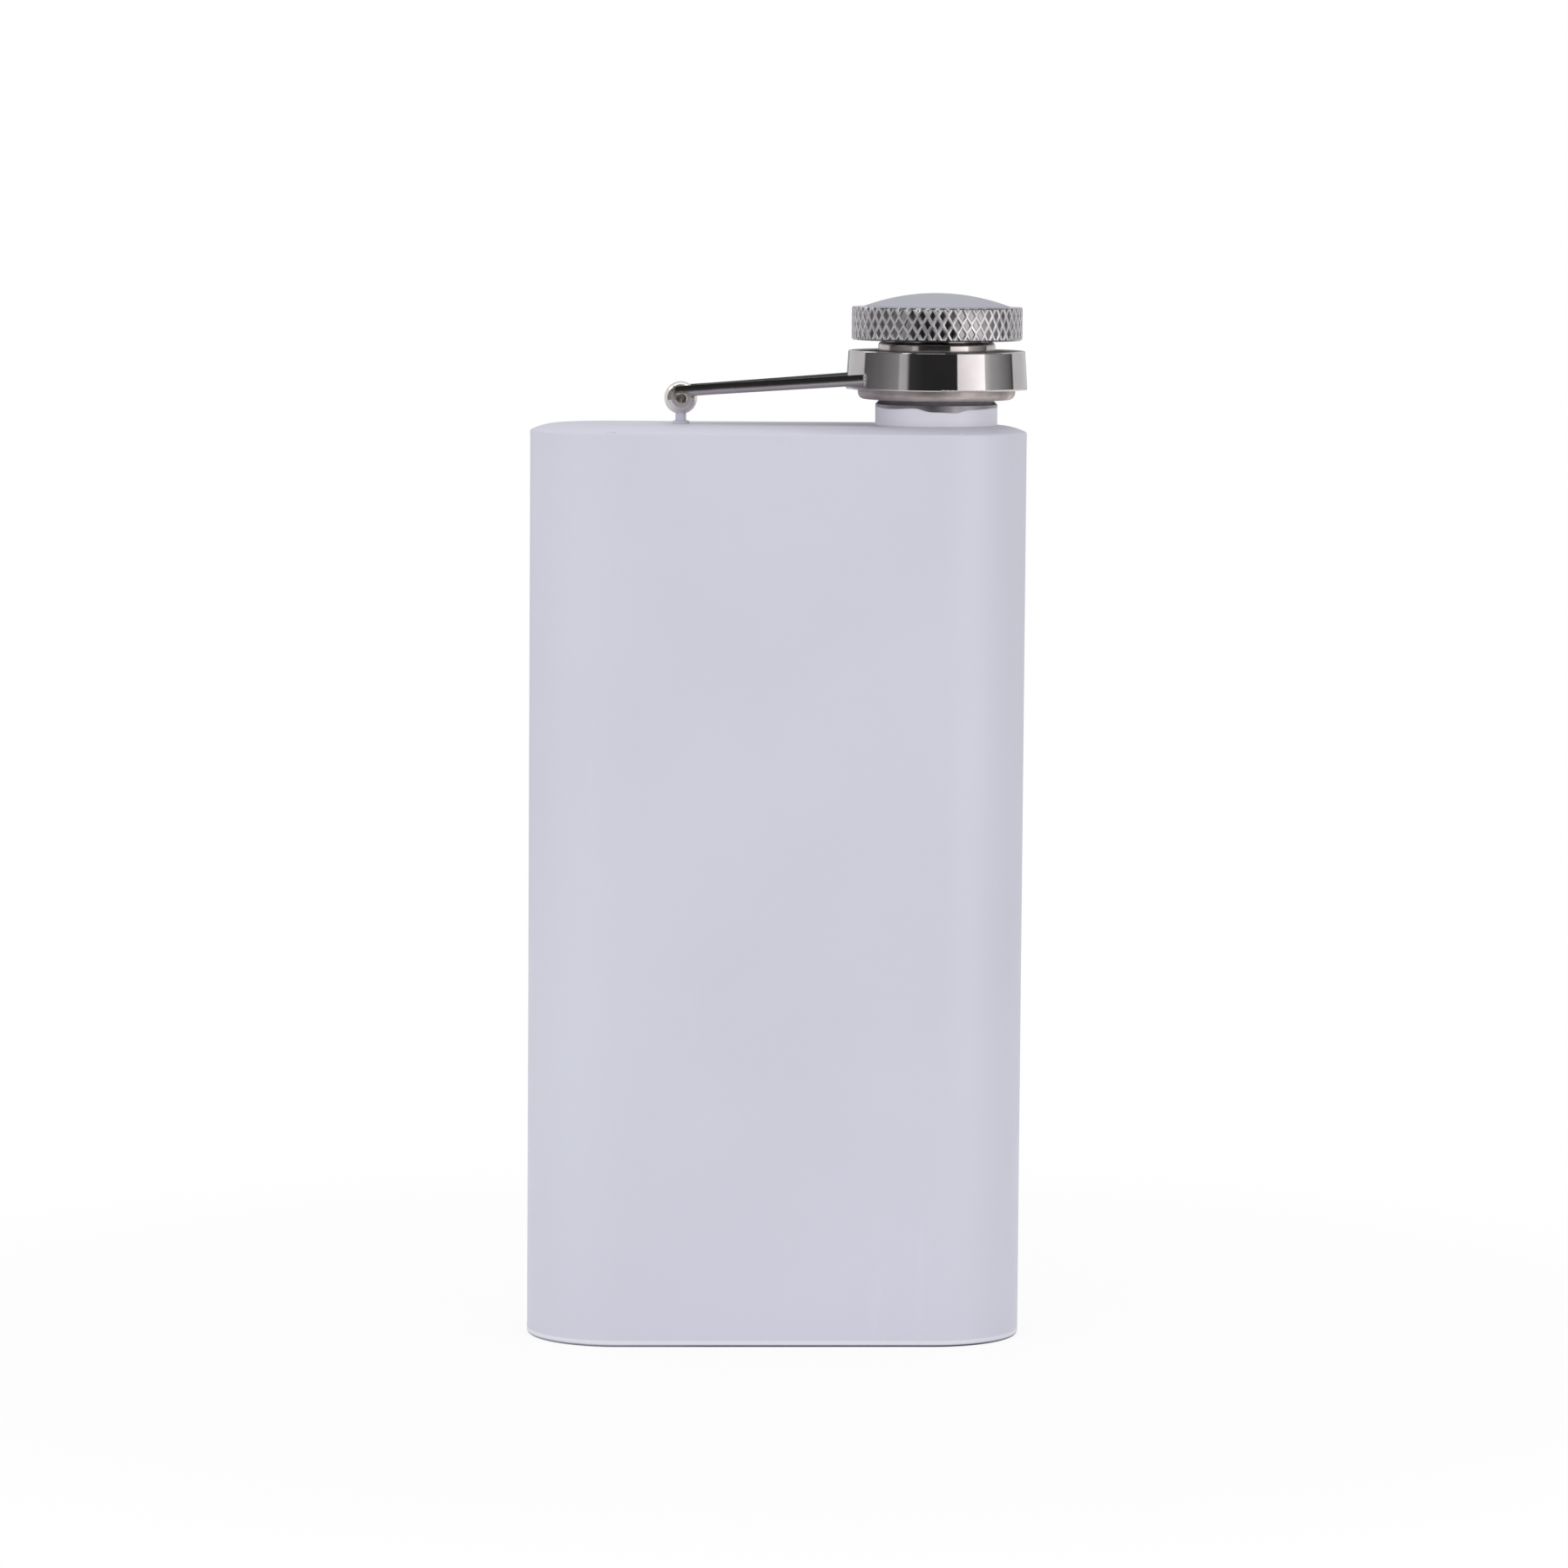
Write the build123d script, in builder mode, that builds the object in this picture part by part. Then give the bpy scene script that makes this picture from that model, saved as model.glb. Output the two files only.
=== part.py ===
"""A steel hip flask whose screw cap is held captive on a hinged arm.

Millimetres. The base stands on Z = 0, the broad front faces -Y and the cap sits on the +X side.
"""

import os
from math import cos, radians, sin, sqrt

from build123d import *

os.makedirs("parts", exist_ok=True)

# General
overrun = 1.0
sheet = 0.6
fit_gap = 0.05
running_gap = 0.05
loose_gap = 0.4

# Body
body_width = 74.4
body_depth = 27.2
body_height = 137.6
shoulder_edge = 2.4
shoulder_drop = 1.05
shoulder_slope_width = 4.4
shoulder_crease_round = 0.3
base_edge = 1.6
base_round = 0.5
plate_sheet = 0.8
spigot_height = 2.5

# Neck, on the axis of the body's round side
neck_outer_radius = 9.15
neck_bore_radius = 7.5
neck_rise = 3.85
neck_chamfer = 0.75
neck_lead_in = 0.3
neck_flange_clearance = 1.35
neck_flange_height = 0.8

# Screw thread of the neck and the stopper
thread_pitch = 1.5
thread_depth = 0.5
thread_clearance = 0.4
thread_crest_share = 0.16
thread_root_share = 0.84
turns_to_open = 2.75

# Stopper, which carries the thread, the seal flange and the shank
plug_depth = 4.0
plug_bore_radius = 4.9
plug_bore_above_rim = 1.0
plug_undercut = 0.6
plug_chamfer = 0.3
seal_height = 0.9
seal_outer_radius = 8.9
flange_radius = 9.4
flange_height = 0.8
shank_radius = 7.0

# Collar on the arm
collar_top_radius = 13.2
collar_low_radius = 13.58
collar_lip_radius = 11.8
collar_lip_height = 1.5
collar_lip_round = 1.0
collar_straight_height = 5.8
collar_roof = 1.1
collar_edge_round = 0.25

# Slip washer between the collar and the head
washer_radius = 8.75
washer_height = 1.3
washer_round = 0.6
washer_bore_clearance = 0.3

# Knurled head
hub_radius = 7.8
hub_height = 0.25
head_radius = 12.85
head_height = 4.95
head_top_chamfer = 0.35
head_low_chamfer = 0.5
shank_engagement = 2.0
screw_web = 1.4

# Domed cover in the top of the head
cover_radius = 10.85
cover_seat_depth = 0.8
cover_edge = 0.1
cover_rise = 1.95
cover_pocket_radius = 3.6
cover_pocket_depth = 0.9

# Centre screw
screw_radius = 1.5
screw_head_radius = 3.0
screw_head_height = 1.4
screw_reach = 7.2
screw_slot_width = 0.8
screw_slot_depth = 0.6

# Hinge of the arm
hinge_to_neck = 38.3
ball_radius = 2.45
ball_flat_width = 3.2
stem_radius = 0.8
stem_foot_radius = 1.15
stem_foot_height = 0.45
stem_tail_radius = 1.6
stem_tail_height = 0.5
pin_radius = 0.75
pin_head_radius = 1.0
pin_head_height = 0.45
pin_head_round = 0.3

# Arm
arm_thickness = 1.65
arm_top_height = 1.85
arm_slope = 4.2
arm_width_at_hinge = 5.8
arm_width_at_collar = 15.2
arm_parallel_length = 5.0
arm_tongue = 1.6
arm_top_round = 0.12
arm_low_round = 0.8
arm_end_reach = 1.0
arm_end_round = 0.4
eye_radius = 1.45
fork_gap = 0.1
fork_end_gap = 0.4

# Places worked out from the sizes above
side_radius = body_depth / 2
neck_x = body_width / 2 - side_radius
hinge_x = neck_x - hinge_to_neck
rim_z = body_height + neck_rise
corner_z = rim_z + collar_lip_height
roof_z = corner_z + collar_straight_height
hub_z = roof_z + washer_height
head_z = hub_z + hub_height
head_top_z = head_z + head_height
flange_z = rim_z + seal_height
shoulder_low_z = body_height - shoulder_edge
crease_z = body_height - shoulder_drop
inner_floor_z = plate_sheet
inner_roof_z = body_height - plate_sheet
neck_inlet_z = inner_roof_z - neck_flange_height
thread_outer_radius = neck_bore_radius - thread_clearance
thread_inner_radius = thread_outer_radius - thread_depth

# Widths of the lips that slip inside the shell
spigot_width = body_width - 2 * (sheet + fit_gap)
spigot_depth = body_depth - 2 * (sheet + fit_gap)
spigot_bore_width = spigot_width - 2 * sheet
spigot_bore_depth = spigot_depth - 2 * sheet
neck_flange_radius = spigot_bore_depth / 2 - neck_flange_clearance

cap_section = Plane(origin=(neck_x, 0, 0), x_dir=(1, 0, 0), z_dir=(0, -1, 0))
cap_axis = Axis((neck_x, 0, 0), (0, 0, 1))
hinge_front = Plane(origin=(hinge_x, 0, rim_z), x_dir=(1, 0, 0), z_dir=(0, -1, 0))


def turned(points):
    """Returns a closed outline of (radius, height) points turned about the cap's axis."""
    with BuildPart() as solid:
        with BuildSketch(cap_section):
            with BuildLine():
                Polyline(*points, close=True)
            make_face()
        revolve(axis=cap_axis)
    return solid.part


def threaded_rod(core_radius, low_z, high_z):
    """Returns a rod on the cap's axis with a screw thread that stands out of its core."""
    start_z = low_z - thread_pitch
    travel = high_z - low_z + 2 * thread_pitch
    root_half = thread_pitch * thread_root_share / 2
    crest_half = thread_pitch * thread_crest_share / 2
    with BuildPart() as ridge:
        with BuildLine() as spiral:
            Helix(pitch=thread_pitch, height=travel, radius=core_radius, center=(neck_x, 0, start_z))
        start = Plane(origin=spiral.line @ 0, x_dir=(1, 0, 0), z_dir=spiral.line % 0)
        with BuildSketch(start):
            with BuildLine():
                Polyline(
                    (-fit_gap, -root_half),
                    (thread_depth, -crest_half),
                    (thread_depth, crest_half),
                    (-fit_gap, root_half),
                    close=True,
                )
            make_face()
        sweep(path=spiral.line, is_frenet=True)
    with BuildPart() as rod:
        with BuildSketch(Plane.XY.offset(start_z - thread_pitch)):
            with Locations((neck_x, 0)):
                Circle(core_radius)
        extrude(amount=travel + 2 * thread_pitch)
        add(ridge.part)
        with BuildSketch(Plane.XY.offset(low_z)):
            with Locations((neck_x, 0)):
                Circle(core_radius + 2 * thread_depth)
        extrude(amount=high_z - low_z, mode=Mode.INTERSECT)
    return rod.part


def shoulder_outline(centre):
    """Draws half of the shoulder's section, from its axis out to the body's side."""
    side = centre + side_radius
    flat = side - shoulder_slope_width
    Polyline((centre, shoulder_low_z), (side, shoulder_low_z), (side, crease_z))
    TangentArc((flat, body_height), (side, crease_z), tangent=(1, 0))
    Polyline((flat, body_height), (centre, body_height), (centre, shoulder_low_z))


def finish(piece, name):
    """Labels one sub-part and writes it as its own file."""
    piece.part.label = name
    export_step(piece.part, f"parts/{name}.step")


# Body shell: a round-sided tube of sheet, open at both ends
with BuildPart() as body_shell:
    with BuildSketch(Plane.XY.offset(base_edge)):
        SlotOverall(body_width, body_depth)
        SlotOverall(body_width - 2 * sheet, body_depth - 2 * sheet, mode=Mode.SUBTRACT)
    extrude(amount=shoulder_low_z - base_edge)

# Base plate: a shallow pressed tray with its lip inside the shell
with BuildPart() as base_plate:
    with BuildSketch():
        SlotOverall(body_width, body_depth)
    extrude(amount=base_edge)
    fillet(base_plate.faces().sort_by(Axis.Z)[0].edges(), base_round)
    with BuildSketch(Plane.XY.offset(base_edge)):
        SlotOverall(spigot_width, spigot_depth)
    extrude(amount=spigot_height)
    with BuildSketch(Plane.XY.offset(inner_floor_z)):
        SlotOverall(spigot_bore_width, spigot_bore_depth)
    extrude(amount=base_edge + spigot_height, mode=Mode.SUBTRACT)

# Shoulder plate: the same tray upside down, cushioned down to a crease, holed for the neck and the post
with BuildPart() as shoulder_plate:
    with BuildSketch(Plane.YZ):
        with BuildLine():
            shoulder_outline(0)
        make_face()
        mirror(about=Plane.YZ)
    extrude(amount=neck_x, both=True)
    for end_x in (-neck_x, neck_x):
        with BuildSketch(Plane.XZ):
            with BuildLine():
                shoulder_outline(end_x)
            make_face()
        revolve(axis=Axis((end_x, 0, 0), (0, 0, 1)))
    crease = shoulder_plate.edges().filter_by_position(Axis.Z, crease_z - fit_gap, crease_z + fit_gap)
    fillet(crease, shoulder_crease_round)
    with BuildSketch(Plane.XY.offset(shoulder_low_z)):
        SlotOverall(spigot_width, spigot_depth)
    extrude(amount=-spigot_height)
    with BuildSketch(Plane.XY.offset(inner_roof_z)):
        SlotOverall(spigot_bore_width, spigot_bore_depth)
    extrude(amount=-(shoulder_edge + spigot_height), mode=Mode.SUBTRACT)
    with Locations((neck_x, 0, body_height)):
        Hole(neck_outer_radius + fit_gap)
    with Locations((hinge_x, 0, body_height)):
        Hole(stem_radius + fit_gap)

# Neck: a threaded tube through the shoulder, flanged inside
neck_thread = threaded_rod(neck_bore_radius, neck_inlet_z - overrun, rim_z - plug_undercut)
with BuildPart() as neck:
    add(turned([
        (0, neck_inlet_z),
        (neck_flange_radius, neck_inlet_z),
        (neck_flange_radius, inner_roof_z),
        (neck_outer_radius, inner_roof_z),
        (neck_outer_radius, rim_z - neck_chamfer),
        (neck_outer_radius - neck_chamfer, rim_z),
        (0, rim_z),
    ]))
    add(turned([
        (0, rim_z - plug_undercut - overrun),
        (neck_bore_radius, rim_z - plug_undercut - overrun),
        (neck_bore_radius, rim_z - neck_lead_in),
        (neck_bore_radius + neck_lead_in, rim_z),
        (neck_bore_radius + neck_lead_in, rim_z + overrun),
        (0, rim_z + overrun),
    ]), mode=Mode.SUBTRACT)
    add(neck_thread, mode=Mode.SUBTRACT)

# Stopper: threaded plug, seal flange and shank in one turned piece
plug_low_z = rim_z - plug_depth
plug_thread = threaded_rod(thread_inner_radius, plug_low_z, rim_z - plug_undercut)
shank_top_z = head_z + shank_engagement
with BuildPart() as stopper:
    add(turned([
        (0, plug_low_z),
        (thread_inner_radius - plug_chamfer, plug_low_z),
        (thread_inner_radius, plug_low_z + plug_chamfer),
        (thread_inner_radius, flange_z),
        (flange_radius, flange_z),
        (flange_radius, flange_z + flange_height),
        (shank_radius, flange_z + flange_height),
        (shank_radius, shank_top_z),
        (0, shank_top_z),
    ]))
    add(plug_thread)
    with BuildSketch(Plane.XY.offset(plug_low_z)):
        with Locations((neck_x, 0)):
            Circle(plug_bore_radius)
    extrude(amount=plug_depth + plug_bore_above_rim, mode=Mode.SUBTRACT)
    with Locations((neck_x, 0, shank_top_z)):
        Hole(screw_radius + fit_gap, depth=screw_reach)

# Seal ring: soft, held under the flange by the thread
with BuildPart() as seal_ring:
    add(turned([
        (thread_inner_radius + fit_gap, rim_z),
        (seal_outer_radius, rim_z),
        (seal_outer_radius, flange_z),
        (thread_inner_radius + fit_gap, flange_z),
    ]))

# Slip washer: lies on the collar under the head
washer_bore_radius = shank_radius + washer_bore_clearance
with BuildPart() as slip_washer:
    add(turned([
        (washer_bore_radius, roof_z),
        (washer_radius, roof_z),
        (washer_radius, hub_z),
        (washer_bore_radius, hub_z),
    ]))
    rim = slip_washer.faces().sort_by(Axis.Z)[-1].edges().sort_by(SortBy.RADIUS)[-1]
    fillet(rim, washer_round)

# Knurled head: a turned disc with a hub below and a seat for the cover above
cover_seat_z = head_top_z - cover_seat_depth
screw_seat_z = shank_top_z + screw_web
with BuildPart() as knurled_head:
    add(turned([
        (0, hub_z),
        (hub_radius, hub_z),
        (hub_radius, head_z),
        (head_radius - head_low_chamfer, head_z),
        (head_radius, head_z + head_low_chamfer),
        (head_radius, head_top_z - head_top_chamfer),
        (head_radius - head_top_chamfer, head_top_z),
        (0, head_top_z),
    ]))
    with BuildSketch(Plane.XY.offset(hub_z)):
        with Locations((neck_x, 0)):
            Circle(shank_radius + fit_gap)
    extrude(amount=shank_top_z - hub_z, mode=Mode.SUBTRACT)
    with BuildSketch(Plane.XY.offset(cover_seat_z)):
        with Locations((neck_x, 0)):
            Circle(cover_radius + fit_gap)
    extrude(amount=cover_seat_depth, mode=Mode.SUBTRACT)
    with Locations((neck_x, 0, cover_seat_z)):
        CounterBoreHole(
            radius=screw_radius + fit_gap,
            counter_bore_radius=cover_pocket_radius,
            counter_bore_depth=cover_seat_z - screw_seat_z,
        )

# Domed cover: pressed into the head over the screw
dome_base_z = head_top_z + cover_edge
with BuildPart() as dome_cover:
    with BuildSketch(cap_section):
        with BuildLine():
            Line((0, cover_seat_z), (cover_radius, cover_seat_z))
            Line((cover_radius, cover_seat_z), (cover_radius, dome_base_z))
            SagittaArc((cover_radius, dome_base_z), (-cover_radius, dome_base_z), -cover_rise)
            Line((-cover_radius, dome_base_z), (-cover_radius, cover_seat_z))
            Line((-cover_radius, cover_seat_z), (0, cover_seat_z))
        make_face()
        with BuildLine():
            Polyline(
                (0, cover_seat_z - overrun),
                (-cover_radius - overrun, cover_seat_z - overrun),
                (-cover_radius - overrun, dome_base_z + cover_rise + overrun),
                (0, dome_base_z + cover_rise + overrun),
                close=True,
            )
        make_face(mode=Mode.SUBTRACT)
    revolve(axis=cap_axis)
    with BuildSketch(Plane.XY.offset(cover_seat_z)):
        with Locations((neck_x, 0)):
            Circle(cover_pocket_radius)
    extrude(amount=cover_pocket_depth, mode=Mode.SUBTRACT)

# Centre screw: pulls the head down on the stopper's shank
with BuildPart() as cap_screw:
    with BuildSketch(Plane.XY.offset(screw_seat_z)):
        with Locations((neck_x, 0)):
            Circle(screw_head_radius)
    extrude(amount=screw_head_height)
    with BuildSketch(Plane.XY.offset(screw_seat_z)):
        with Locations((neck_x, 0)):
            Circle(screw_radius)
    extrude(amount=-screw_reach)
    with BuildSketch(Plane.XY.offset(screw_seat_z + screw_head_height)):
        with Locations((neck_x, 0)):
            Rectangle(2 * (screw_head_radius + overrun), screw_slot_width)
    extrude(amount=-screw_slot_depth, mode=Mode.SUBTRACT)

# Hinge post: a stem riveted through the shoulder, with a flattened ball on top
with BuildPart() as hinge_post:
    with BuildSketch(hinge_front):
        Circle(ball_radius)
        with BuildLine():
            Polyline(
                (0, -ball_radius - overrun),
                (-ball_radius - overrun, -ball_radius - overrun),
                (-ball_radius - overrun, ball_radius + overrun),
                (0, ball_radius + overrun),
                close=True,
            )
        make_face(mode=Mode.SUBTRACT)
    revolve(axis=Axis((hinge_x, 0, rim_z), (0, 0, 1)))
    with BuildSketch(hinge_front):
        Rectangle(2 * (ball_radius + overrun), 2 * (ball_radius + overrun))
    extrude(amount=ball_flat_width / 2, both=True, mode=Mode.INTERSECT)
    with BuildSketch(Plane.XY.offset(rim_z)):
        with Locations((hinge_x, 0)):
            Circle(stem_radius)
    extrude(amount=-(rim_z - inner_roof_z + stem_tail_height))
    with Locations((hinge_x, 0, body_height + stem_foot_height / 2)):
        Cone(stem_foot_radius, stem_radius, stem_foot_height)
    with BuildSketch(Plane.XY.offset(inner_roof_z)):
        with Locations((hinge_x, 0)):
            Circle(stem_tail_radius)
    extrude(amount=-stem_tail_height)
    with BuildSketch(hinge_front):
        Circle(pin_radius + running_gap)
    extrude(amount=ball_radius, both=True, mode=Mode.SUBTRACT)

# Arm: a flat tapered plate, forked round the ball and let into the collar
slope = radians(arm_slope)
arm_plane = Plane(
    origin=(hinge_x, 0, rim_z),
    x_dir=(cos(slope), 0, sin(slope)),
    z_dir=(-sin(slope), 0, cos(slope)),
)
tongue_radius = collar_top_radius - arm_tongue
side_reach = hinge_to_neck - sqrt(collar_top_radius**2 - (arm_width_at_collar / 2) ** 2)
fork_slot_width = ball_flat_width + 2 * fork_gap
fork_slot_length = ball_radius + fork_end_gap
with BuildPart() as swing_arm:
    with BuildSketch(arm_plane.offset(arm_top_height - arm_thickness)):
        with BuildLine():
            Polyline(
                (-arm_end_reach, -arm_width_at_hinge / 2),
                (arm_parallel_length, -arm_width_at_hinge / 2),
                (side_reach, -arm_width_at_collar / 2),
                (hinge_to_neck, -arm_width_at_collar / 2),
                (hinge_to_neck, arm_width_at_collar / 2),
                (side_reach, arm_width_at_collar / 2),
                (arm_parallel_length, arm_width_at_hinge / 2),
                (-arm_end_reach, arm_width_at_hinge / 2),
                close=True,
            )
        make_face()
    extrude(amount=arm_thickness)
    upright = Axis(arm_plane.origin, arm_plane.z_dir)
    fillet(swing_arm.edges().filter_by(Axis.Y).group_by(upright)[-1].sort_by(Axis.X)[0], arm_end_round)
    long_edges = swing_arm.edges().filter_by(GeomType.LINE).filter_by(Axis.Y, reverse=True)
    level_edges = long_edges.filter_by(upright, reverse=True).group_by(upright)
    fillet(level_edges[0], arm_low_round)
    fillet(level_edges[-1], arm_top_round)
    with BuildSketch(hinge_front):
        Circle(eye_radius)
    extrude(amount=arm_width_at_hinge / 2, both=True)
    with BuildSketch(Plane.XY.offset(rim_z)):
        with Locations((neck_x, 0)):
            Circle(tongue_radius)
    extrude(amount=collar_straight_height, mode=Mode.SUBTRACT)
    with BuildSketch(arm_plane.offset(-ball_radius - overrun)):
        Rectangle(2 * fork_slot_length, fork_slot_width)
    extrude(amount=2 * (ball_radius + overrun), mode=Mode.SUBTRACT)
    with BuildSketch(hinge_front):
        Circle(pin_radius + fit_gap)
    extrude(amount=arm_width_at_hinge, both=True, mode=Mode.SUBTRACT)

# Hinge pin: headed at both ends, held by the fork and free in the ball
with BuildPart() as hinge_pin:
    with BuildSketch(hinge_front):
        Circle(pin_radius)
    extrude(amount=arm_width_at_hinge / 2 + pin_head_height, both=True)
    for side in (-1, 1):
        with BuildSketch(hinge_front.offset(side * arm_width_at_hinge / 2)):
            Circle(pin_head_radius)
        extrude(amount=side * pin_head_height)
    ends = hinge_pin.faces().sort_by(Axis.Y)
    fillet(ends[0].edges() + ends[-1].edges(), pin_head_round)

# Collar: a thick ring that holds the cap, hollow below so that the flange can rise
counterbore_radius = flange_radius + loose_gap
with BuildPart() as collar:
    add(turned([
        (counterbore_radius, rim_z),
        (collar_lip_radius, rim_z),
        (collar_lip_radius, corner_z),
        (collar_low_radius, corner_z),
        (collar_top_radius, roof_z),
        (shank_radius + running_gap, roof_z),
        (shank_radius + running_gap, roof_z - collar_roof),
        (counterbore_radius, roof_z - collar_roof),
    ]))
    rims = collar.edges().filter_by(GeomType.CIRCLE).sort_by(SortBy.RADIUS)
    fillet(rims[-2:], collar_edge_round)
    lip = collar.faces().sort_by(Axis.Z)[0].edges().sort_by(SortBy.RADIUS)[-1]
    fillet(lip, collar_lip_round)
    add(swing_arm.part, mode=Mode.SUBTRACT)

finish(body_shell, "body_shell")
finish(base_plate, "base_plate")
finish(shoulder_plate, "shoulder_plate")
finish(neck, "neck")
finish(hinge_post, "hinge_post")
finish(hinge_pin, "hinge_pin")
finish(swing_arm, "swing_arm")
finish(collar, "collar")
finish(slip_washer, "slip_washer")
finish(stopper, "stopper")
finish(seal_ring, "seal_ring")
finish(knurled_head, "knurled_head")
finish(dome_cover, "dome_cover")
finish(cap_screw, "cap_screw")

lift = turns_to_open * thread_pitch
room = roof_z - collar_roof - flange_z - flange_height - lift
print(f"rim {rim_z:.2f}, top {dome_base_z + cover_rise:.2f}, lift {lift:.3f}, room left {room:.3f}")
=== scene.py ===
"""Dresses a painted steel hip flask with a captive screw cap and sets it in a plain white studio.

Metres. The base stands on Z = 0, the broad front faces -Y and the cap sits on the +X side.
"""

import logging
from abc import ABC, abstractmethod
from dataclasses import dataclass
from enum import Enum
from functools import reduce
from math import cos, pi, radians, sin, tan
from typing import Sequence

import bmesh
import bpy
from mathutils import Matrix, Vector


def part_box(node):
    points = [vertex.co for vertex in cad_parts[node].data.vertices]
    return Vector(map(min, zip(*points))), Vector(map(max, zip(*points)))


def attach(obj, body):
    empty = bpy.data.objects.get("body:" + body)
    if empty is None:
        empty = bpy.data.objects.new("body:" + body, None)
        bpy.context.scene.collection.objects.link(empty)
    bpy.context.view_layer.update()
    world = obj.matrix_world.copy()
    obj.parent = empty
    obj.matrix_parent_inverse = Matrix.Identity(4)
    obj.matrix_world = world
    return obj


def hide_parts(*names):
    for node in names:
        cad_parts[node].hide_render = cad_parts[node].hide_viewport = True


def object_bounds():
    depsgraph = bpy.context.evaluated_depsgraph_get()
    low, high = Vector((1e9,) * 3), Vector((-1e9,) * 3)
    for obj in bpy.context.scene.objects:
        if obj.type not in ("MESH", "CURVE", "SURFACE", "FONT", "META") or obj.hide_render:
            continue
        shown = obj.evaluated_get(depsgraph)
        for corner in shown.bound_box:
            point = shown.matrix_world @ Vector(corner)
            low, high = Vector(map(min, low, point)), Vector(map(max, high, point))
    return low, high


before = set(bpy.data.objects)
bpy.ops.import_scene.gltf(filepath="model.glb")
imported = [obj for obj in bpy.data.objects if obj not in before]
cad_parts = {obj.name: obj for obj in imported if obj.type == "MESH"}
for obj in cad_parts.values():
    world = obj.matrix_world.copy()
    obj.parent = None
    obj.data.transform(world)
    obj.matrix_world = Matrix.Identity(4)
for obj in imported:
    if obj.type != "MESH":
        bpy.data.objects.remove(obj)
cad_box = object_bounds()

Triple = tuple[float, float, float]
Colour = Triple
Span = tuple[float, float]
Place = tuple[float, float]
Socket = bpy.types.NodeSocket
Value = float | Socket
Tint = Colour | Socket
Inputs = dict[str | int, Value | Tint]
BMesh = bmesh.types.BMesh
Edges = list[bmesh.types.BMEdge]
Verts = list[bmesh.types.BMVert]

MM = 0.001
ORIGIN: Triple = (0.0, 0.0, 0.0)
BLACK: Colour = (0.0, 0.0, 0.0)
WHITE: Colour = (1.0, 1.0, 1.0)
RISING: Span = (0.0, 1.0)
FALLING: Span = (1.0, 0.0)
SOFT_DETAIL = 1.0
MEDIUM_DETAIL = 2.0
FINE_DETAIL = 3.0
log = logging.getLogger("hip_flask")


class Body(str, Enum):
    """The moving bodies that the new pieces ride on."""

    FLASK = "flask"
    ARM = "arm"
    CAP = "cap"


class Slot(str, Enum):
    """The record's material slots."""

    WHITE_PAINT = "white_paint"
    POLISHED_STEEL = "polished_steel"
    KNURLED_STEEL = "knurled_steel"


class Target(Enum):
    """What a lamp is for: steel mirrors it, or it lights paint unseen."""

    STEEL = 1
    PAINT = 2


class Axis(str, Enum):
    """The parts of a vector."""

    X = "X"
    Y = "Y"
    Z = "Z"


class Maths(str, Enum):
    """What a Math node works out."""

    ADD = "ADD"
    SUBTRACT = "SUBTRACT"
    MULTIPLY = "MULTIPLY"
    MAXIMUM = "MAXIMUM"
    ABSOLUTE = "ABSOLUTE"
    SINE = "SINE"
    ARCTAN2 = "ARCTAN2"


def toned(colour: Colour, factor: float) -> Colour:
    """Returns a colour made lighter or darker by a factor, and no brighter than white."""
    return tuple(min(channel * factor, 1.0) for channel in colour)


def grey(level: float) -> Colour:
    """Returns the grey of that level."""
    return level, level, level


def under(level: float, span: Span) -> Span:
    """Returns a span that is measured down from a level."""
    return level - span[0], level - span[1]


class NodeSet:
    """A node tree, with short ways to add and join its nodes."""

    MIX_SHARE = 0
    MIX_FIRST = 6
    MIX_SECOND = 7
    MIX_RESULT = 2

    def __init__(self, tree: bpy.types.NodeTree) -> None:
        """Empties the tree."""
        self.tree = tree
        self.tree.nodes.clear()

    def node(self, kind: str, inputs: Inputs | None = None, **settings: str) -> bpy.types.Node:
        """Adds a node.

        Args:
            kind: the node's type name.
            inputs: values or sockets for its inputs, by name or number.
            **settings: properties of the node itself.

        Returns:
            The new node.
        """
        made = self.tree.nodes.new(kind)
        for key, value in settings.items():
            setattr(made, key, value)
        for key, value in (inputs or {}).items():
            socket = made.inputs[key]
            if isinstance(value, Socket):
                self.tree.links.new(value, socket)
            elif socket.type == "RGBA":
                socket.default_value = (*value, 1.0)
            else:
                socket.default_value = value
        return made

    def math(self, kind: Maths, first: Value, second: Value = 0.0) -> Socket:
        """Returns the result of one sum on two numbers or sockets."""
        return self.node("ShaderNodeMath", {0: first, 1: second}, operation=kind.value).outputs[0]

    def times(self, *factors: Value) -> Socket:
        """Returns the product of two or more numbers and sockets."""
        return reduce(lambda product, factor: self.math(Maths.MULTIPLY, product, factor), factors)

    def length(self, vector: Socket) -> Socket:
        """Returns a vector's length."""
        return self.node("ShaderNodeVectorMath", {0: vector}, operation="LENGTH").outputs["Value"]

    def part(self, vector: Socket, axis: Axis) -> Socket:
        """Returns one part of a vector."""
        return self.node("ShaderNodeSeparateXYZ", {0: vector}).outputs[axis.value]

    def spread(self, value: Value, span: Span, onto: Span = RISING) -> Socket:
        """Maps a value's span onto another range, with a smooth start and end."""
        inputs = dict(zip(("Value", "From Min", "From Max", "To Min", "To Max"), (value, *span, *onto)))
        return self.node("ShaderNodeMapRange", inputs, interpolation_type="SMOOTHSTEP").outputs["Result"]

    def mix(self, share: Value, first: Tint, second: Tint) -> Socket:
        """Returns a colour between two colours."""
        inputs = {self.MIX_SHARE: share, self.MIX_FIRST: first, self.MIX_SECOND: second}
        return self.node("ShaderNodeMix", inputs, data_type="RGBA").outputs[self.MIX_RESULT]


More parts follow.
